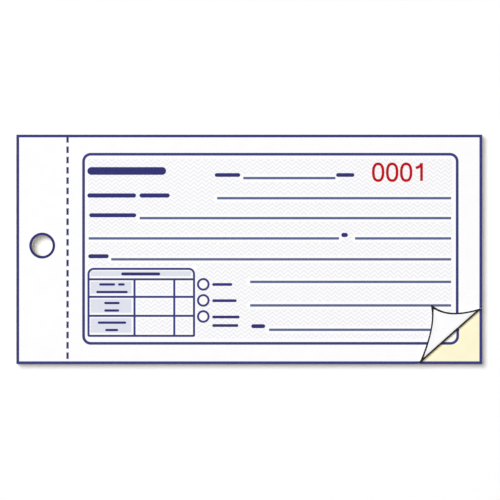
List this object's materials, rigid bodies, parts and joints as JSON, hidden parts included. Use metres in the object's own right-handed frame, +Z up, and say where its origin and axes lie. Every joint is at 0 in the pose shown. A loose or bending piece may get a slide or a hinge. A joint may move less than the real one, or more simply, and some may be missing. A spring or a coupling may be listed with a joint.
{
  "type": "duplicate receipt book",
  "caption": "Stub-bound pad of duplicate carbonless receipt forms, white over canary, with perforated turning leaves, a punched filing hole and a chipboard back.",
  "frame": {"origin": "under the middle of the whole book, on the surface that the board lies on", "axes": "+X from the bound stub to the free end of the receipts, +Y to the head of the form, +Z up out of the top sheet"},
  "size_m": [0.1428, 0.0702, 0.0082],
  "materials": {
    "original_paper": "smooth white bond, printed in blue",
    "duplicate_paper": "smooth canary bond, printed in blue",
    "chipboard": "uncoated grey chipboard",
    "padding_glue": "dried white padding compound"
  },
  "bodies": {
    "bound_book": {"back_board": "chipboard", "duplicate_sheet_05": "duplicate_paper", "duplicate_sheet_06": "duplicate_paper", "duplicate_sheet_07": "duplicate_paper", "duplicate_sheet_08": "duplicate_paper", "duplicate_sheet_09": "duplicate_paper", "duplicate_sheet_10": "duplicate_paper", "duplicate_sheet_11": "duplicate_paper", "duplicate_sheet_12": "duplicate_paper", "duplicate_sheet_13": "duplicate_paper", "duplicate_sheet_14": "duplicate_paper", "duplicate_sheet_15": "duplicate_paper", "duplicate_sheet_16": "duplicate_paper", "duplicate_sheet_17": "duplicate_paper", "duplicate_sheet_18": "duplicate_paper", "duplicate_sheet_19": "duplicate_paper", "duplicate_sheet_20": "duplicate_paper", "duplicate_sheet_21": "duplicate_paper", "duplicate_sheet_22": "duplicate_paper", "duplicate_sheet_23": "duplicate_paper", "duplicate_sheet_24": "duplicate_paper", "duplicate_sheet_25": "duplicate_paper", "duplicate_stubs": "duplicate_paper", "original_sheet_05": "original_paper", "original_sheet_06": "original_paper", "original_sheet_07": "original_paper", "original_sheet_08": "original_paper", "original_sheet_09": "original_paper", "original_sheet_10": "original_paper", "original_sheet_11": "original_paper", "original_sheet_12": "original_paper", "original_sheet_13": "original_paper", "original_sheet_14": "original_paper", "original_sheet_15": "original_paper", "original_sheet_16": "original_paper", "original_sheet_17": "original_paper", "original_sheet_18": "original_paper", "original_sheet_19": "original_paper", "original_sheet_20": "original_paper", "original_sheet_21": "original_paper", "original_sheet_22": "original_paper", "original_sheet_23": "original_paper", "original_sheet_24": "original_paper", "original_sheet_25": "original_paper", "original_stubs": "original_paper", "padding_glue": "padding_glue"},
    "original_leaf_01": {"original_leaf_01": "original_paper"},
    "duplicate_leaf_01": {"duplicate_leaf_01": "duplicate_paper"},
    "original_leaf_02": {"original_leaf_02": "original_paper"},
    "duplicate_leaf_02": {"duplicate_leaf_02": "duplicate_paper"},
    "original_leaf_03": {"original_leaf_03": "original_paper"},
    "duplicate_leaf_03": {"duplicate_leaf_03": "duplicate_paper"},
    "original_leaf_04": {"original_leaf_04": "original_paper"},
    "duplicate_leaf_04": {"duplicate_leaf_04": "duplicate_paper"}
  },
  "joints": [
    {"name": "duplicate_turn_01", "type": "hinge", "parent": "bound_book", "child": "duplicate_leaf_01", "pos_m": [-0.05565, 0, 0.00585], "axis": [0, -1, 0], "range_deg": [0, 66]},
    {"name": "original_turn_01", "type": "hinge", "parent": "duplicate_leaf_01", "child": "original_leaf_01", "pos_m": [-0.05565, 0, 0.00585], "axis": [0, -1, 0], "range_deg": [0, 110]},
    {"name": "original_turn_02", "type": "hinge", "parent": "bound_book", "child": "original_leaf_02", "pos_m": [-0.05565, 0, 0.00585], "axis": [0, -1, 0], "range_deg": [0, 56.58]},
    {"name": "duplicate_turn_02", "type": "hinge", "parent": "bound_book", "child": "duplicate_leaf_02", "pos_m": [-0.05565, 0, 0.00585], "axis": [0, -1, 0], "range_deg": [0, 47.15]},
    {"name": "original_turn_03", "type": "hinge", "parent": "bound_book", "child": "original_leaf_03", "pos_m": [-0.05565, 0, 0.00585], "axis": [0, -1, 0], "range_deg": [0, 37.72]},
    {"name": "duplicate_turn_03", "type": "hinge", "parent": "bound_book", "child": "duplicate_leaf_03", "pos_m": [-0.05565, 0, 0.00585], "axis": [0, -1, 0], "range_deg": [0, 28.3]},
    {"name": "original_turn_04", "type": "hinge", "parent": "bound_book", "child": "original_leaf_04", "pos_m": [-0.05565, 0, 0.00585], "axis": [0, -1, 0], "range_deg": [0, 18.87]},
    {"name": "duplicate_turn_04", "type": "hinge", "parent": "bound_book", "child": "duplicate_leaf_04", "pos_m": [-0.05565, 0, 0.00585], "axis": [0, -1, 0], "range_deg": [0, 9.44]}
  ],
  "couplings": [
    {"joint": "original_turn_02", "follows": "duplicate_turn_01", "ratio": 0.8571},
    {"joint": "duplicate_turn_02", "follows": "duplicate_turn_01", "ratio": 0.7143},
    {"joint": "original_turn_03", "follows": "duplicate_turn_01", "ratio": 0.5714},
    {"joint": "duplicate_turn_03", "follows": "duplicate_turn_01", "ratio": 0.4286},
    {"joint": "original_turn_04", "follows": "duplicate_turn_01", "ratio": 0.2857},
    {"joint": "duplicate_turn_04", "follows": "duplicate_turn_01", "ratio": 0.1429}
  ]
}
